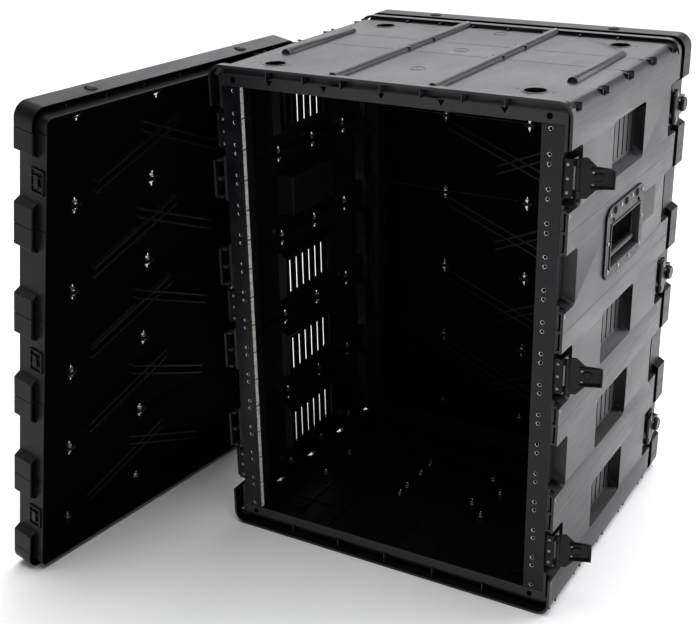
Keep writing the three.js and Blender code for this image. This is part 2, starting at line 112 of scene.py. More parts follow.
def fitted_lid():
    """Frame of the rear lid on the case."""
    fitted = Matrix.Translation((0, HALF_DEPTH + LID_GAP, 0))
    return fitted @ Matrix.Rotation(math.pi, 4, "Z")


# Lid frames: local Z up the lid, +Y to its inside, origin on the rim plane
LID_FRAMES = {"front": leaning_lid(), "rear": fitted_lid()}


# ---- Materials ------------------------------------------------------------------------------
def new_material(name):
    material = bpy.data.materials.new(name)
    material.use_nodes = True
    tree = material.node_tree
    shader = tree.nodes["Principled BSDF"]
    coordinates = tree.nodes.new("ShaderNodeTexCoord")
    return material, tree, shader, coordinates


def noise(tree, coordinates, scale, detail=4.0, stretch=None):
    node = tree.nodes.new("ShaderNodeTexNoise")
    node.inputs["Scale"].default_value = scale
    node.inputs["Detail"].default_value = detail
    if stretch:
        mapping = tree.nodes.new("ShaderNodeMapping")
        mapping.inputs["Scale"].default_value = stretch
        tree.links.new(coordinates.outputs["Object"], mapping.inputs["Vector"])
        tree.links.new(mapping.outputs["Vector"], node.inputs["Vector"])
    else:
        tree.links.new(coordinates.outputs["Object"], node.inputs["Vector"])
    return node


def remap(tree, source, low, high, to_low, to_high):
    node = tree.nodes.new("ShaderNodeMapRange")
    node.inputs["From Min"].default_value = low
    node.inputs["From Max"].default_value = high
    node.inputs["To Min"].default_value = to_low
    node.inputs["To Max"].default_value = to_high
    tree.links.new(source, node.inputs["Value"])
    return node.outputs["Result"]


def colour_ramp(tree, source, dark, light, low=0.35, high=0.65):
    ramp = tree.nodes.new("ShaderNodeValToRGB")
    ramp.color_ramp.elements[0].position = low
    ramp.color_ramp.elements[0].color = (*dark, 1)
    ramp.color_ramp.elements[1].position = high
    ramp.color_ramp.elements[1].color = (*light, 1)
    tree.links.new(source, ramp.inputs["Fac"])
    return ramp.outputs["Color"]


def moulded(name, dark, light, rough, grain, specular=0.36):
    """Injection-moulded plastic: fine spark-eroded grain, flow marks and handling scuffs."""
    material, tree, shader, coordinates = new_material(name)
    flow = noise(tree, coordinates, 5.0, 3.0, (1.0, 1.0, 2.2))
    scuff = noise(tree, coordinates, 60.0, 6.0, (1.0, 0.25, 1.6))
    pebble = noise(tree, coordinates, 1400.0, 2.0)
    colour = colour_ramp(tree, flow.outputs["Fac"], dark, light)
    tree.links.new(colour, shader.inputs["Base Color"])
    mixed = tree.nodes.new("ShaderNodeMath")
    mixed.operation = "MULTIPLY_ADD"
    mixed.inputs[1].default_value = 0.45
    tree.links.new(scuff.outputs["Fac"], mixed.inputs[0])
    tree.links.new(flow.outputs["Fac"], mixed.inputs[2])
    roughness = remap(tree, mixed.outputs["Value"], 0.5, 0.95, *rough)
    tree.links.new(roughness, shader.inputs["Roughness"])
    bump = tree.nodes.new("ShaderNodeBump")
    bump.inputs["Strength"].default_value = grain
    bump.inputs["Distance"].default_value = 0.0002
    tree.links.new(pebble.outputs["Fac"], bump.inputs["Height"])
    tree.links.new(bump.outputs["Normal"], shader.inputs["Normal"])
    shader.inputs["IOR"].default_value = 1.48
    shader.inputs["Specular IOR Level"].default_value = specular
    return material


def painted_steel(name, dark, light, rough, coat, specular):
    """Powder-coated pressed steel with a faint orange peel and rubbed patches."""
    material, tree, shader, coordinates = new_material(name)
    patch = noise(tree, coordinates, 35.0, 5.0)
    peel = noise(tree, coordinates, 700.0, 1.0)
    colour = colour_ramp(tree, patch.outputs["Fac"], dark, light)
    tree.links.new(colour, shader.inputs["Base Color"])
    roughness = remap(tree, patch.outputs["Fac"], 0.3, 0.7, *rough)
    tree.links.new(roughness, shader.inputs["Roughness"])
    bump = tree.nodes.new("ShaderNodeBump")
    bump.inputs["Strength"].default_value = 0.12
    bump.inputs["Distance"].default_value = 0.0003
    tree.links.new(peel.outputs["Fac"], bump.inputs["Height"])
    tree.links.new(bump.outputs["Normal"], shader.inputs["Normal"])
    shader.inputs["Specular IOR Level"].default_value = specular
    shader.inputs["Coat Weight"].default_value = coat
    shader.inputs["Coat Roughness"].default_value = 0.12
    return material


def bright_metal(name, dark, light, rough):
    """Zinc-plated fastener metal with slight clouding."""
    material, tree, shader, coordinates = new_material(name)
    cloud = noise(tree, coordinates, 220.0, 3.0)
    colour = colour_ramp(tree, cloud.outputs["Fac"], dark, light)
    tree.links.new(colour, shader.inputs["Base Color"])
    roughness = remap(tree, cloud.outputs["Fac"], 0.3, 0.7, *rough)
    tree.links.new(roughness, shader.inputs["Roughness"])
    shader.inputs["Metallic"].default_value = 1.0
    return material


def printed_film(name, dark, light, rough):
    """Pale printed film, slightly worn."""
    material, tree, shader, coordinates = new_material(name)
    wear = noise(tree, coordinates, 90.0, 4.0)
    colour = colour_ramp(tree, wear.outputs["Fac"], dark, light)
    tree.links.new(colour, shader.inputs["Base Color"])
    roughness = remap(tree, wear.outputs["Fac"], 0.3, 0.7, *rough)
    tree.links.new(roughness, shader.inputs["Roughness"])
    return material


CASE = moulded("case_plastic", (0.011, 0.0105, 0.0125), (0.018, 0.0172, 0.02),
               rough=(0.3, 0.44), grain=0.35)
# The case plastic made darker for both lids and their fittings: painted shade.
SHADED_LID = moulded("lid_shaded_plastic", (0.0055, 0.0052, 0.0062), (0.0085, 0.0081, 0.0095),
              rough=(0.3, 0.44), grain=0.3, specular=0.13)
# A darker copy of the case plastic on faces inside the bay, channels, sockets and lids, and on
# the floor ribs, bosses and lid lugs: painted shade.
INTERIOR_SHADE = moulded("interior_shade_plastic", (0.0022, 0.0021, 0.0026), (0.0036, 0.0034, 0.0042),
                rough=(0.3, 0.46), grain=0.3, specular=0.16)
# Near-black plastic: painted deep shade in the lid hollows and on the lid tongues, and the dark
# beam arrows and bolts.
BLACK_AND_SHADE = moulded("black_and_shade_plastic", (0.0006, 0.0006, 0.0008), (0.0012, 0.0011, 0.0014),
                    rough=(0.5, 0.65), grain=0.25, specular=0.015)
# Dark plastic: painted shade on the socket floors, in the dots for small holes and in the
# scoops, and the dark seam lines and printed ticks.
SHADE_AND_DARK_MARKS = moulded("shade_and_dark_marks_plastic", (0.004, 0.004, 0.0045), (0.006, 0.006, 0.0065),
                 rough=(0.5, 0.6), grain=0.4)
BLANK = moulded("label_film", (0.016, 0.014, 0.013), (0.022, 0.019, 0.017),
                rough=(0.34, 0.44), grain=0.1, specular=0.12)
STEEL = painted_steel("black_steel", (0.004, 0.004, 0.005), (0.008, 0.008, 0.009),
                      rough=(0.26, 0.4), coat=0.05, specular=0.15)
RAIL = painted_steel("rail_steel", (0.004, 0.004, 0.0055), (0.007, 0.007, 0.009),
                     rough=(0.2, 0.34), coat=0.06, specular=0.2)
PLATE = painted_steel("plate_steel", (0.006, 0.006, 0.007), (0.01, 0.01, 0.011),
                      rough=(0.32, 0.44), coat=0.0, specular=0.15)
# A lighter copy of the plate steel on the walls and floor of the finger cups: painted light.
LIT_CUP = painted_steel("lit_cup_steel", (0.026, 0.025, 0.027), (0.036, 0.035, 0.038),
                    rough=(0.34, 0.46), coat=0.0, specular=0.3)
ZINC = bright_metal("zinc", (0.62, 0.62, 0.64), (0.78, 0.78, 0.8), rough=(0.16, 0.3))
RIVET = bright_metal("rivet_metal", (0.16, 0.16, 0.17), (0.26, 0.26, 0.28), rough=(0.24, 0.36))
SCALE = printed_film("scale_print", (0.6, 0.59, 0.55), (0.78, 0.77, 0.74), rough=(0.35, 0.5))


# ---- Mesh helpers ---------------------------------------------------------------------------
def smooth_shading(mesh, angle):
    for polygon in mesh.polygons:
        polygon.use_smooth = True
    mesh.set_sharp_from_angle(angle=math.radians(angle))


def add_bevel(obj, width_mm, segments=2, angle=32.0):
    bevel = obj.modifiers.new("edge_round", "BEVEL")
    bevel.width = width_mm / 1000
    bevel.segments = segments
    bevel.limit_method = "ANGLE"
    bevel.angle_limit = math.radians(angle)
    bevel.use_clamp_overlap = True
    bevel.harden_normals = True


def link_piece(name, mesh, material, body):
    obj = bpy.data.objects.new(name, mesh)
    bpy.context.scene.collection.objects.link(obj)
    mesh.materials.clear()
    mesh.materials.append(material)
    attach(obj, body)
    return obj


def recess_corner(a, b):
    """The slanted corner edges of a vent window or latch pocket."""
    outer, inner = sorted((abs(a.x), abs(b.x)), reverse=True)
    level = abs(a.y - b.y) < 0.2
    return outer > 264.5 and 240 < inner < 252 and level and 5 < abs(a.z - b.z) < 12


def plate_corner(a, b):
    """The outline corners of the handle plate, through its thickness."""
    return abs(a.x - b.x) > 2 and (a - b).length < 3 and abs(a.y) > 60


def in_socket(centre):
    """Walls and floor of the round sockets in the top."""
    across = min(math.hypot(centre.x - x, centre.y - y) for x, y in SOCKETS)
    return across < 15 and TOP_SURFACE - 9 < centre.z < TOP_SURFACE - 0.5


def in_cup(centre, normal):
    """Walls and floor of the finger cup in a handle plate, which take painted light."""
    middle = Vector((math.copysign(256, centre.x), 0, module_centre(HANDLE_MODULE)))
    level = abs(centre.z - middle.z) < 33
    inside = abs(centre.x) < 265.5 and abs(centre.y) < 62 and level
    return inside and normal.dot(middle - centre) > 0


def faces_bay(centre, normal):
    """Faces of the case shell that look into the rack bay, into its edge channels or into the
    top sockets; they take painted shade.
    """
    across, along = abs(centre.x), abs(centre.y)
    from_end = CASE_HEIGHT / 2 - abs(centre.z - CASE_HEIGHT / 2)
    bay = across < 262 and along < RAIL_FACE and 3 < centre.z < CASE_HEIGHT - 6
    bay = bay and normal.dot(Vector((0, 0, CASE_HEIGHT / 2)) - centre) > 0
    side_channel = 254 < across < 261.8 and 195 < along < 217
    beam_channel = across < 262 and 206 < along < 217 and 3 < from_end < 15.5
    beam_channel = beam_channel and abs(normal.y) < 0.9
    return bay or side_channel or beam_channel or in_socket(centre)


def lid_faces(matrix):
    """Material of a lid's faces: 0 outside, 1 hollow and tongue in painted deep shade, 2 crests
    of the ribs, painted lighter than the hollow as a highlight.
    """
    inverse = matrix.inverted()

    def test(centre, normal):
        local = inverse @ centre
        turned = inverse.to_3x3() @ normal
        if turned.y > 0.9 and abs(local.y + LID_RIB_CREST) < 1.5:
            return 2
        deep = abs(local.x) < 253 and 3 < local.z < CASE_HEIGHT - 3
        looking_in = turned.dot(Vector((0, 60, CASE_HEIGHT / 2)) - local) > 0
        return int((deep and looking_in) or local.y > -LID_TONGUE + 0.5)

    return test


def rounded_copy(node, name, material, body, width, segments=2, smooth=32.0,
                 corner=None, radius=0.0, inner=None, light_and_shade_materials=(INTERIOR_SHADE,)):
    """A finished copy of a CAD node with moulded or pressed edge radii."""
    bm = bmesh.new()
    bm.from_mesh(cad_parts[node].data)
    bmesh.ops.remove_doubles(bm, verts=bm.verts, dist=0.00002)
    bmesh.ops.dissolve_limit(bm, angle_limit=math.radians(1.0), verts=bm.verts, edges=bm.edges)
    if corner:
        picked = [e for e in bm.edges if corner(e.verts[0].co * 1000, e.verts[1].co * 1000)]
        bmesh.ops.bevel(bm, geom=picked, offset=radius / 1000, offset_type="OFFSET",
                        segments=4, profile=0.5, affect="EDGES", clamp_overlap=True)
    mesh = bpy.data.meshes.new(name)
    bm.to_mesh(mesh)
    bm.free()
    smooth_shading(mesh, smooth)
    obj = link_piece(name, mesh, material, body)
    # Faces picked by the test take the extra materials: painted shade in the bay and lids,
    # painted light in the handle cups.
    if inner:
        for extra in light_and_shade_materials:
            mesh.materials.append(extra)
        for polygon in mesh.polygons:
            polygon.material_index = int(inner(polygon.center * 1000, polygon.normal))
    add_bevel(obj, width, segments, smooth)
    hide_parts(node)


class Shapes:
    """Collects small closed shapes, given in millimetres, into one mesh."""

    def __init__(self, matrix=None):
        self.bm = bmesh.new()
        self.matrix = matrix or Matrix.Identity(4)

    def _place(self, verts):
        bmesh.ops.transform(self.bm, matrix=self.matrix, verts=verts)

    def hull_of_rings(self, rings, looped=False):
        """Closed skin through equal rings of points: capped, or the last joined to the first."""
        made = [[self.bm.verts.new(p) for p in ring] for ring in rings]
        count = len(rings[0])
        pairs = list(zip(made, made[1:]))
        if looped:
            pairs.append((made[-1], made[0]))
        for lower, upper in pairs:
            for i in range(count):
                j = (i + 1) % count
                self.bm.faces.new((lower[i], lower[j], upper[j], upper[i]))
        if not looped:
            self.bm.faces.new(list(reversed(made[0])))
            self.bm.faces.new(made[-1])
        self._place([v for ring in made for v in ring])

    def box(self, x0, x1, y0, y1, z0, z1):
        ring = [(x0, y0), (x1, y0), (x1, y1), (x0, y1)]
        self.hull_of_rings([[(x, y, z0) for x, y in ring], [(x, y, z1) for x, y in ring]])

    def turned(self, profile, at, axis, sides=16, looped=False):
        """A turned shape: profile is (radius, height) pairs along the axis from the point at."""
        direction = Vector(axis).normalized()
        basis = direction.to_track_quat("Z", "Y").to_matrix()
        rings = []
        for radius, height in profile:
            ring = []
            for i in range(sides):
                angle = 2 * math.pi * i / sides
                local = Vector((radius * math.cos(angle), radius * math.sin(angle), height))
                ring.append(Vector(at) + basis @ local)
            rings.append(ring)
        self.hull_of_rings(rings, looped)

    def dome(self, radius, height, at, axis, sides=14):
        profile = [(radius, 0.0), (radius, height * 0.35), (radius * 0.8, height * 0.75),
                   (radius * 0.45, height * 0.95), (radius * 0.1, height)]
        self.turned(profile, at, axis, sides)

    def screw(self, radius, height, at, axis, sides=14):
        """A pan head with a driver recess."""
        profile = [(radius, 0.0), (radius, height * 0.5), (radius * 0.85, height * 0.9),
                   (radius * 0.5, height), (radius * 0.42, height * 0.55),
                   (radius * 0.05, height * 0.5)]
        self.turned(profile, at, axis, sides)

    def bolt(self, at, axis):
        """A hexagon head on a washer with the end of its thread."""
        self.turned([(5.0, 0.0), (5.0, 0.9), (0.4, 1.0)], at, axis, 16)
        self.turned([(3.9, 0.9), (3.9, 4.4), (3.2, 5.0), (0.4, 5.0)], at, axis, 6)
        self.turned([(1.9, 4.9), (1.9, 8.4), (1.2, 9.0), (0.3, 9.0)], at, axis, 10)

    def ring(self, inner, outer, height, at, axis, sides=24):
        """A raised ring, open in the middle."""
        profile = [(outer, 0.0), (outer, height * 0.6), (outer - height * 0.4, height),
                   (inner + height * 0.4, height), (inner, height * 0.6), (inner, 0.0)]
        self.turned(profile, at, axis, sides, looped=True)

    def piece(self, name, material, body, bevel=0.0, smooth=35.0):
        bmesh.ops.recalc_face_normals(self.bm, faces=self.bm.faces)
        mesh = bpy.data.meshes.new(name)
        self.bm.to_mesh(mesh)
        self.bm.free()
        mesh.transform(Matrix.Scale(0.001, 4))
        smooth_shading(mesh, smooth)
        obj = link_piece(name, mesh, material, body)
        if bevel:
            add_bevel(obj, bevel, 2, smooth)


# ---- Case shell -----------------------------------------------------------------------------
def build_shell():
    # Faces looking into the bay, the edge channels and the sockets get the darker interior
    # plastic: painted shade.
    for node in ("top_panel", "bottom_panel"):
        rounded_copy(node, f"{node}_shell", CASE, "case", 0.8, inner=faces_bay)
    for side in SIDES:
        for number in MODULES:
            node = f"side_{side}_{number}"
            rounded_copy(node, f"{node}_shell", CASE, "case", 0.7,
                         corner=recess_corner, radius=6.5, inner=faces_bay)


def half_round(shapes, x, y0, y1, width, rise, base, closed_ends):
    """Half-round rib along Y, with rounded ends where they are closed."""
    rings = []
    steps = 8
    stations = [(y0, 1.0), (y1, 1.0)]
    if closed_ends:
        run = width / 2
        stations = [(y0, 0.15), (y0 + run * 0.3, 0.7), (y0 + run, 1.0),
                    (y1 - run, 1.0), (y1 - run * 0.3, 0.7), (y1, 0.15)]
    for y, share in stations:
        ring = []
        for i in range(steps + 1):
            angle = math.pi * i / steps
            ring.append((x + width / 2 * share * math.cos(angle), y,
                         base + rise * share * math.sin(angle)))
        ring.append((x - width / 2 * share, y, base - 0.5))
        ring.append((x + width / 2 * share, y, base - 0.5))
        rings.append(ring)
    shapes.hull_of_rings(rings)


def top_ribs():
    """Long ribs over the whole top, short ones beside them, and their joints at the seams."""
    ribs = Shapes()
    for x in LONG_RIBS:
        half_round(ribs, x, *LONG_RIB_ENDS, RIB_WIDTH, RIB_RISE, TOP_SURFACE, False)
        for y in TOP_SEAMS:
            ribs.box(x - 8.6, x + 8.6, y - 2.4, y + 2.4, TOP_SURFACE - 0.5, TOP_SURFACE + 5.6)
    for x in SHORT_RIBS:
        half_round(ribs, x, *SHORT_RIB_ENDS, RIB_WIDTH, RIB_RISE, TOP_SURFACE, True)
    ribs.piece("top_ribs", CASE, "case", 0.3, 40)


def top_marks():
    """Raised rings around the sockets and gate marks down the middle."""
    marks = Shapes()
    base = TOP_SURFACE - 0.1
    for x, y in SOCKETS:
        marks.ring(14.4, 17.2, 0.8, (x, y, base), (0, 0, 1), 32)
    for y in TOP_MARKS:
        marks.ring(9.5, 11, 0.5, (0, y, base), (0, 0, 1), 28)
        marks.dome(2.2, 0.5, (0, y, base), (0, 0, 1))
    marks.piece("top_marks", CASE, "case")


def top_seams_and_shade():
    """Seams across the top, and dark socket floors and four dark dots for small holes around
    each socket: the floors and dots are painted shade.
    """
    dark = Shapes()
    for y in TOP_SEAMS:
        dark.box(-258, 258, y - 0.7, y + 0.7, TOP_SURFACE - 0.4, TOP_SURFACE + 0.12)
    socket_floor_shade = [(14.3, 0.0), (13.8, 0.4), (6.0, 0.6), (5.6, 0.2), (0.4, 0.2)]
    hole_shade_dot = [(2.0, 0.0), (1.9, 0.25), (0.4, 0.1)]
    for x, y in SOCKETS:
        dark.turned(socket_floor_shade, (x, y, TOP_SURFACE - 8.0), (0, 0, 1), 28)
        for dx, dy in ((24, 0), (-24, 0), (0, 24), (0, -24)):
            dark.turned(hole_shade_dot, (x + dx, y + dy, TOP_SURFACE - 0.1), (0, 0, 1), 12)
    dark.piece("top_seams_and_shade", SHADE_AND_DARK_MARKS, "case")


def scoop_shades():
    """Thin dark crescents in the scoops along both side edges, top and bottom: painted shade."""
    shades = Shapes()
    arc = [math.pi * (0.5 + k / 10) for k in range(11)]
    edge = HALF_WIDTH - 3
    for low, high in ((TOP_SURFACE - 12.5, TOP_SURFACE - 1.5), (4.5, 16.5)):
        for sx in SIDES.values():
            for i in range(-2, 3):
                outline = []
                for radius, angles in ((SCOOP_SHADE_RADIUS, arc), (SCOOP_SHADE_RADIUS - 1.5, arc[::-1])):
                    for a in angles:
                        outline.append((sx * (edge + radius * math.cos(a)),
                                        SCOOP_PITCH * i + radius * math.sin(a)))
                shades.hull_of_rings([[(x, y, low) for x, y in outline],
                                      [(x, y, high) for x, y in outline]])
    shades.piece("scoop_shades", SHADE_AND_DARK_MARKS, "case")


def build_top_details():
    top_ribs()
    top_marks()
    top_seams_and_shade()
    scoop_shades()


def build_beam_details():
    """Arrows and end screws on the front and rear beams."""
    marks = Shapes()
    bolts = Shapes()
    for sy in ENDS.values():
        face = sy * RAIL_FACE
        for x in [ARROW_PITCH * i for i in range(-2, 3)]:
            outline = [(x - 5.2, BEAM_TOP - 1), (x + 5.2, BEAM_TOP - 1), (x, BEAM_TOP - 9)]
            marks.hull_of_rings([[(a, face - sy * 0.3, b) for a, b in outline],
                                 [(a, face + sy * 0.3, b) for a, b in outline]])
        for x in (-231, 231):
            for z in (CASE_HEIGHT - BEAM_TOP + 6, BEAM_TOP - 6):
                bolts.screw(4.0, 1.6, (x, face - sy * 0.1, z), (0, sy, 0))
    marks.piece("beam_arrows", BLACK_AND_SHADE, "case")
    bolts.piece("beam_bolts", BLACK_AND_SHADE, "case")


def edge_webs():
    """Bridges across the edge channels at each seam, and the ends of their two slots."""
    ribs = Shapes()
    for sx in SIDES.values():
        for sy in ENDS.values():
            for seam in SEAMS[1:-1]:
                for dz, half in ((0, 2.0), (-27, 1.6), (27, 1.6)):
                    xs = sorted((sx * 254.6, sx * 261.9))
                    ys = sorted((sy * 214.5, sy * 195))
                    ribs.box(*xs, *ys, seam + dz - half, seam + dz + half)
    ribs.piece("edge_webs", CASE, "case", 0.25)


def module_screws():
    """Bolts that join the modules, above and below each seam inside the side walls."""
    screws = Shapes()
    for sx in SIDES.values():
        for index, seam in enumerate(SEAMS):
            for y in WALL_BOLTS:
                if index < len(SEAMS) - 1:
                    screws.bolt((sx * WALL_BOLT_X, y, seam + 3.1), (0, 0, 1))
                if index > 0:
                    screws.bolt((sx * WALL_BOLT_X, y, seam - 3.3), (0, 0, -1))
    screws.piece("module_screws", ZINC, "case")


def edge_fixings():
    """Dark dots painted as the shade of holes in the empty latch pockets, and one small screw
    above each seam.
    """
    dots = Shapes()
    heads = Shapes()
    for sx in SIDES.values():
        for sy in ENDS.values():
            for number in (2, 4):
                for dz in (-6.8, 6.8):
                    place = (sx * 247.4, sy * 200, module_centre(number) + dz)
                    dots.turned([(1.7, 0.0), (1.6, 0.15), (0.3, 0.1)], place, (sx, 0, 0), 12)
            for seam in SEAMS[:-1]:
                heads.dome(2.3, 1.0, (sx * 264.8, sy * 214.5, seam + 22.5), (sx, 0, 0))
    dots.piece("pocket_hole_shades", SHADE_AND_DARK_MARKS, "case")
    heads.piece("edge_screws", RIVET, "case")


def build_side_details():
    edge_webs()
    module_screws()
    edge_fixings()


def build_floor_details():
    """Ribs, bolts and corner bosses on the inside of the bottom panel."""
    ribs = Shapes()
    base = BOTTOM_FLOOR - 0.5
    for x in range(-180, 181, 60):
        ribs.box(x - 1.1, x + 1.1, -188, 188, base, BOTTOM_FLOOR + 3.2)
    for y in range(-120, 121, 60):
        ribs.box(-246, 246, y - 1.1, y + 1.1, base, BOTTOM_FLOOR + 2.4)
    # The floor ribs and bosses take the darker interior plastic: painted shade.
    ribs.piece("floor_ribs", INTERIOR_SHADE, "case", 0.3)

    bosses = Shapes()
    boss = [(11, -0.5), (10.5, 6.0), (7.5, 6.6), (7.0, 4.0), (0.4, 4.0)]
    for x in (-188, 188):
        for y in (-148, 148):
            bosses.turned(boss, (x, y, BOTTOM_FLOOR), (0, 0, 1), 24)
    bosses.piece("floor_bosses", INTERIOR_SHADE, "case")

    bolts = Shapes()
    for x, places in ((-65, (-35, -9, 39, 74)), (50, (-6, 77)), (78, (-34, 42)),
                      (-206, (-36, 44)), (206, (-36, 44))):
        for y in places:
            bolts.bolt((x, y, BOTTOM_FLOOR - 0.1), (0, 0, 1))
    bolts.piece("floor_bolts", ZINC, "case")


# ---- Rails ----------------------------------------------------------------------------------
def rail_hole_heights():
    heights = []
    for unit in range(UNITS):
        heights += [CAP + unit * UNIT + HOLE_OFFSET, CAP + (unit + 1) * UNIT - HOLE_OFFSET]
    return heights


def pierced_strip(name, low, high):
    """Flat strip with round holes, as a mesh in X and Y: X across the rail, Y up it."""
    curve = bpy.data.curves.new(f"{name}_outline", "CURVE")
    curve.dimensions = "2D"
    curve.fill_mode = "BOTH"
    curve.extrude = 0.0008
    curve.bevel_depth = 0.0002
    loops = [[(RAIL_INNER + 0.1, low), (RAIL_OUTER, low), (RAIL_OUTER, high),
              (RAIL_INNER + 0.1, high)]]
    turns = [2 * math.pi * i / 16 for i in range(16)]
    for z in rail_hole_heights():
        loops.append([(HOLE_COLUMN + HOLE_RADIUS * math.cos(a), z + HOLE_RADIUS * math.sin(a))
                      for a in turns])
    for loop in loops:
        spline = curve.splines.new("POLY")
        spline.points.add(len(loop) - 1)
        spline.use_cyclic_u = True
        for point, (x, z) in zip(spline.points, loop):
            point.co = (x / 1000, z / 1000, 0, 1)
    holder = bpy.data.objects.new("rail_outline_holder", curve)
    bpy.context.scene.collection.objects.link(holder)
    bpy.context.view_layer.update()
    mesh = bpy.data.meshes.new_from_object(holder)
    bpy.data.objects.remove(holder)
    return mesh


def add_return_flange(mesh, sx, sy, low, high):
    """The flange that runs back from the inner edge of the strip."""
    bm = bmesh.new()
    bm.from_mesh(mesh)
    section = ((RAIL_INNER, 205.5), (223.0, 205.5), (223.0, 182.1), (RAIL_INNER, 182.1))
    made = []
    for z in (low, high):
        for x, y in section:
            made.append(bm.verts.new((sx * x / 1000, sy * y / 1000, z / 1000)))
    for a, b, c, d in ((0, 1, 2, 3), (4, 5, 6, 7), (0, 1, 5, 4), (1, 2, 6, 5),
                       (2, 3, 7, 6), (3, 0, 4, 7)):
        bm.faces.new((made[a], made[b], made[c], made[d]))
    bmesh.ops.recalc_face_normals(bm, faces=bm.faces)
    bm.to_mesh(mesh)
    bm.free()


def build_rails():
    """Rails with round holes, their inner return flanges and the threaded inserts."""
    low, high = CAP + 0.7, CASE_HEIGHT - CAP - 0.7
    for end, sy in ENDS.items():
        for side, sx in SIDES.items():
            name = f"rail_{end}_{side}"
            mesh = pierced_strip(name, low, high)
            # The outline lies in X and Y: stand it up on the rail face
            stand = Matrix(((sx, 0, 0, 0), (0, 0, 1, sy * 0.206), (0, 1, 0, 0), (0, 0, 0, 1)))
            mesh.transform(stand)
            add_return_flange(mesh, sx, sy, low, high)
            smooth_shading(mesh, 32)
            rail = link_piece(f"{name}_pressed", mesh, RAIL, "case")
            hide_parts(name)
    inserts = Shapes()
    for sx in SIDES.values():
        for sy in ENDS.values():
            for z in rail_hole_heights():
                inserts.ring(2.2, 3.25, 1.1, (sx * HOLE_COLUMN, sy * 205.4, z), (0, sy, 0), 14)
    inserts.piece("rail_inserts", ZINC, "case")


def build_scale():
    """Printed strip with a long tick at each unit and three short ones between."""
    rounded_copy("rack_unit_scale", "scale_strip", SCALE, "case", 0.1)
    ticks = Shapes()
    xs = (-220.6, -219.95)
    lowest, highest = CAP + 1, CASE_HEIGHT - CAP - 1
    for unit in range(UNITS + 1):
        z = CAP + unit * UNIT
        ticks.box(*xs, -206.6, -199.9, max(z - 0.9, lowest), min(z + 0.9, highest))
        if unit < UNITS:
            for part in (HOLE_OFFSET, UNIT / 2, UNIT - HOLE_OFFSET):
                ticks.box(*xs, -206.6, -204.8, z + part - 0.5, z + part + 0.5)
    ticks.piece("scale_ticks", SHADE_AND_DARK_MARKS, "case")


# ---- Latches --------------------------------------------------------------------------------
def latch_frame(side, end, number, turn):
    sx, sy = SIDES[side], ENDS[end]
    place = Matrix.Translation((sx * HINGE_X, sy * HINGE_Y, module_centre(number)))
    mirror = Matrix.Diagonal((sx, -sy, 1, 1))
    return place @ Matrix.Rotation(math.radians(turn), 4, "Z") @ mirror


def lever_fittings(tag, frame_matrix, body):
    """Knob with a bar across it, the disc on the other face, and the rivets of one lever."""
    arm = Shapes(frame_matrix)
    arm.turned([(10.4, 2.3), (10.9, 3.2), (10.9, 6.6), (9.8, 8.2), (7.2, 8.4),
                (6.6, 7.0), (0.5, 6.9)], (0, -32, 0), (1, 0, 0), 28)
    arm.box(6.6, 8.0, -37.5, -26.5, -1.2, 1.2)
    arm.turned([(7.5, 0.0), (7.5, 1.4), (5.6, 2.2), (4.4, 2.2), (3.8, 1.0), (0.4, 1.0)],
               (0.4, -26, 0), (-1, 0, 0), 24)
    arm.piece(f"latch_knob_{tag}", STEEL, body, 0.2)
    rivets = Shapes(frame_matrix)
    for z in (-18, 18):
        rivets.dome(2.6, 1.3, (2.4, -8, z), (1, 0, 0))
    for z in (-8, 8):
        rivets.dome(1.8, 1.0, (2.4, -19, z), (1, 0, 0))
        rivets.dome(1.8, 0.8, (0.6, -19, z), (-1, 0, 0))
    rivets.piece(f"latch_rivets_{tag}", RIVET, body)


def bracket_fittings(tag, frame_matrix):
    """Rivets of one latch base."""
    fixed = Shapes(frame_matrix)
    for z in (-18, 0, 18):
        fixed.dome(2.5, 1.4, (-11, -5.9, z), (0, -1, 0))
    for z in (-20, 20):
        fixed.dome(2.2, 1.0, (-4.1, 10, z), (1, 0, 0))
    fixed.piece(f"bracket_rivets_{tag}", RIVET, "case")


def build_latches():
    for end in ENDS:
        for side in SIDES:
            turn = LEVER_TURNS.get((end, side), 0.0)
            for number in LATCH_MODULES:
                tag = f"{end}_{side}_{number}"
                lever_body = f"lever_{tag}"
                rounded_copy(f"latch_base_{tag}", f"latch_bracket_{tag}", STEEL, "case",
                             0.35)
                rounded_copy(f"latch_lever_{tag}", f"latch_arm_{tag}", STEEL, lever_body,
                             0.35)
                lever_fittings(tag, latch_frame(side, end, number, turn), lever_body)
                bracket_fittings(tag, latch_frame(side, end, number, 0.0))


# ---- Handles --------------------------------------------------------------------------------
def handle_trim(side, frame_matrix):
    """Bosses and eyelets on the plate, and the rolled edge around its cup."""
    trim = Shapes(frame_matrix)
    for y in (-45, 0, 45):
        trim.dome(5.6, 3.0, (HANDLE_FACE, y, 49), (1, 0, 0), 20)
    for y in (-52, 52):
        trim.turned([(3.0, 0.0), (3.0, 1.0), (2.0, 1.6), (1.6, 0.6), (0.3, 0.6)],
                    (HANDLE_FACE, y, 37), (1, 0, 0), 16)
    for y in (-60.4, 60.4):
        trim.box(267.6, 269.0, y - 1.6, y + 1.6, -32, 32)
    for z in (-31, 31):
        trim.box(267.6, 269.0, -62, 62, z - 1.4, z + 1.4)
    trim.piece(f"handle_trim_{side}", PLATE, "case", 0.5)


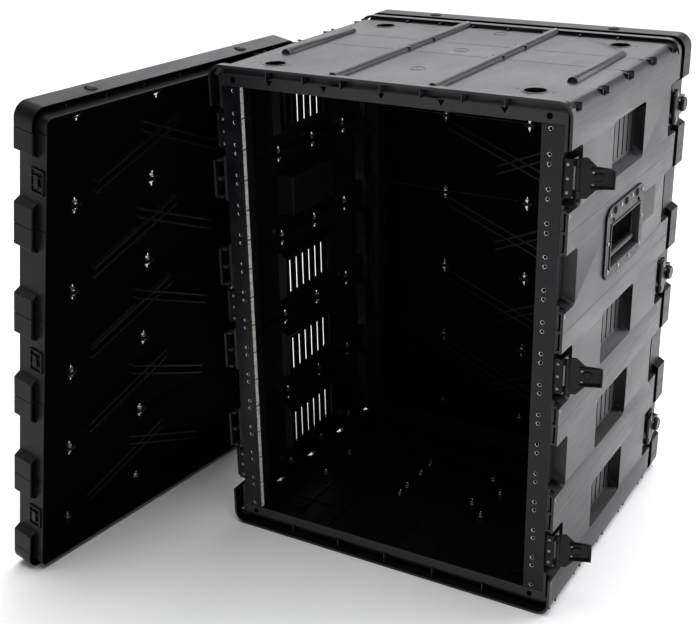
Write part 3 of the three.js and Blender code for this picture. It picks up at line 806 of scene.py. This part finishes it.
def build_handles():
    for side, sx in SIDES.items():
        # The cup faces take a lighter copy of the plate steel: painted light.
        rounded_copy(f"handle_plate_{side}", f"handle_pan_{side}", PLATE, "case",
                     0.9, corner=plate_corner, radius=4.0, inner=in_cup,
                     light_and_shade_materials=(LIT_CUP,))
        rounded_copy(f"handle_bail_{side}", f"handle_grip_{side}", STEEL, f"bail_{side}",
                     0.5, 2, 40.0)
        centre = Matrix.Translation((0, 0, module_centre(HANDLE_MODULE)))
        frame_matrix = centre @ Matrix.Diagonal((sx, 1, 1, 1))
        rivets = Shapes(frame_matrix)
        for y, z in ((66.5, -33), (22.5, -37.5), (69.5, 7.5), (66.5, 47), (22.5, 50.5)):
            for sign in (-1, 1):
                rivets.dome(3.1, 1.8, (HANDLE_FACE, sign * y, z), (1, 0, 0))
        rivets.piece(f"handle_rivets_{side}", RIVET, "case")
        handle_trim(side, frame_matrix)


def build_label():
    """Blank film beside the right handle."""
    label = Shapes()
    label.box(HALF_WIDTH - 0.1, HALF_WIDTH + 0.4, 79, 137, 488, 532)
    label.piece("blank_label", BLANK, "case", 0.1)


# ---- Lids -----------------------------------------------------------------------------------
def lid_seam_fittings(end, matrix, body):
    """Lugs inside the lid at each seam, with a bolt above and below."""
    inside = -LID_DEPTH + LID_WALL
    lugs = Shapes(matrix)
    screws = Shapes(matrix)
    for seam in SEAMS:
        for across in LID_BOLTS[end]:
            lugs.box(across - 9, across + 9, inside - 0.5, inside + 11, seam - 3.2, seam + 3.2)
            screws.bolt((across, inside + 6, seam + 3.1), (0, 0, 1))
            screws.bolt((across, inside + 6, seam - 3.1), (0, 0, -1))
    # The lugs take the darker interior plastic: painted shade.
    lugs.piece(f"{end}_lid_lugs", INTERIOR_SHADE, body, 0.4)
    screws.piece(f"{end}_lid_screws", ZINC, body)


def lid_keepers(end, matrix, body):
    """Frames on the lid's side walls that the latch hooks catch."""
    keepers = Shapes(matrix)
    for sx in SIDES.values():
        xs = sorted((sx * 254.5, sx * 257.6))
        for number in LATCH_MODULES:
            z = module_centre(number)
            for z0, z1 in ((z - 17, z - 15), (z + 15, z + 17),
                           (z - 7, z - 5.6), (z + 5.6, z + 7)):
                keepers.box(*xs, -27, -4, z0, z1)
            for y in (-27, -6):
                keepers.box(*xs, y, y + 2, z - 17, z + 17)
    keepers.piece(f"{end}_lid_keepers", SHADED_LID, body, 0.2)


def lid_trim(end, matrix, body):
    """Small domes on the rim and short ticks along its inner edge."""
    domes = Shapes(matrix)
    for x in (-150, 150):
        domes.dome(9, 3.2, (x, -33, CASE_HEIGHT - 0.3), (0, 0, 1), 20)
    for x in range(-210, 211, 70):
        for z0, z1 in ((CASE_HEIGHT - 10.6, CASE_HEIGHT - 4), (4, 10.6)):
            domes.box(x - 1.2, x + 1.2, -17.5, -14.6, z0, z1)
    domes.piece(f"{end}_lid_trim", SHADED_LID, body, 0.2)


def build_lids():
    for end, matrix in LID_FRAMES.items():
        body = f"{end}_lid"
        for part in ["top_cap", "bottom_cap"] + [f"panel_{n}" for n in MODULES]:
            node = f"{end}_lid_{part}"
            # Hollows and tongues take painted deep shade; rib crests take a lighter painted
            # shade as a highlight.
            rounded_copy(node, f"{node}_shell", SHADED_LID, body, 0.8,
                         inner=lid_faces(matrix), light_and_shade_materials=(BLACK_AND_SHADE, INTERIOR_SHADE))
        lid_seam_fittings(end, matrix, body)
        lid_keepers(end, matrix, body)
        lid_trim(end, matrix, body)


# ---- Stage ----------------------------------------------------------------------------------
def soft_light(name, location, target, size, power, colour=(1, 1, 1)):
    data = bpy.data.lights.new(name, "AREA")
    data.shape = "RECTANGLE"
    data.size, data.size_y = size
    data.energy = power
    data.color = colour
    light = bpy.data.objects.new(name, data)
    bpy.context.scene.collection.objects.link(light)
    light.location = location
    direction = Vector(target) - Vector(location)
    light.rotation_mode = "QUATERNION"
    light.rotation_quaternion = direction.to_track_quat("-Z", "Y")
    light.visible_camera = False


def studio_floor():
    material, tree, shader, coordinates = new_material("studio_floor")
    soft = noise(tree, coordinates, 1.5, 2.0)
    colour = colour_ramp(tree, soft.outputs["Fac"], (0.88, 0.88, 0.885), (0.9, 0.9, 0.9))
    tree.links.new(colour, shader.inputs["Base Color"])
    shader.inputs["Roughness"].default_value = 0.9
    mesh = bpy.data.meshes.new("studio_floor")
    reach = 14.0
    mesh.from_pydata([(-reach, -reach, 0), (reach, -reach, 0), (reach, reach, 0),
                      (-reach, reach, 0)], [], [(0, 1, 2, 3)])
    mesh.materials.append(material)
    floor = bpy.data.objects.new("studio_floor", mesh)
    floor.location.z = -0.0005
    bpy.context.scene.collection.objects.link(floor)


def studio_walls():
    """Pale at the horizon, where they meet the floor, and dim above."""
    world = bpy.data.worlds.new("studio")
    world.use_nodes = True
    nodes = world.node_tree
    direction = nodes.nodes.new("ShaderNodeTexCoord")
    parts = nodes.nodes.new("ShaderNodeSeparateXYZ")
    nodes.links.new(direction.outputs["Generated"], parts.inputs["Vector"])
    level = remap(nodes, parts.outputs["Z"], 0.06, 0.34, 1.0, 0.13)
    backdrop = nodes.nodes["Background"]
    backdrop.inputs["Color"].default_value = (1, 1, 1, 1)
    nodes.links.new(level, backdrop.inputs["Strength"])
    bpy.context.scene.world = world
    bpy.context.scene.view_settings.view_transform = "Standard"


def studio_lights():
    middle = (0, 0, 0.36)
    tint = (0.97, 0.96, 1.0)
    soft_light("over_and_behind", (-1.3, 2.6, 2.4), (0, 0, 0.6), (3.2, 1.8), 48, tint)
    soft_light("right_wall", (2.9, 2.2, 0.85), middle, (2.4, 1.7), 38, tint)
    soft_light("high_front", (0.8, -2.2, 3.0), middle, (1.6, 1.6), 6, (0.93, 0.95, 1.0))
    soft_light("floor_right", (1.5, 1.3, 1.5), (0.55, 0.5, 0), (1.2, 1.2), 22, tint)

    data = bpy.data.lights.new("ceiling", "SUN")
    data.energy = 3.3
    data.angle = math.radians(60)
    ceiling = bpy.data.objects.new("ceiling", data)
    ceiling.rotation_euler = (math.radians(-8), 0, 0)
    bpy.context.scene.collection.objects.link(ceiling)


def build_stage():
    studio_floor()
    studio_walls()
    studio_lights()


def build_camera():
    azimuth, elevation, roll = (math.radians(a) for a in (30.516, 22.786, -1.173))
    back = Vector((math.sin(azimuth) * math.cos(elevation),
                   -math.cos(azimuth) * math.cos(elevation), math.sin(elevation)))
    right = (-back).cross(Vector((0, 0, 1))).normalized()
    up = right.cross(-back)
    across = math.cos(roll) * right + math.sin(roll) * up
    upward = -math.sin(roll) * right + math.cos(roll) * up
    data = bpy.data.cameras.new("camera")
    data.lens = 65.31
    data.sensor_width = 36.0
    data.clip_start, data.clip_end = 0.05, 60.0
    camera = bpy.data.objects.new("camera", data)
    bpy.context.scene.collection.objects.link(camera)
    turned = Matrix((across, upward, back)).transposed().to_4x4()
    place = Matrix.Translation((0.7753, -1.6141, 1.0826))
    camera.matrix_world = place @ turned
    bpy.context.scene.camera = camera


build_shell()
build_top_details()
build_beam_details()
build_side_details()
build_floor_details()
build_rails()
build_scale()
build_latches()
build_handles()
build_label()
build_lids()
build_stage()
build_camera()
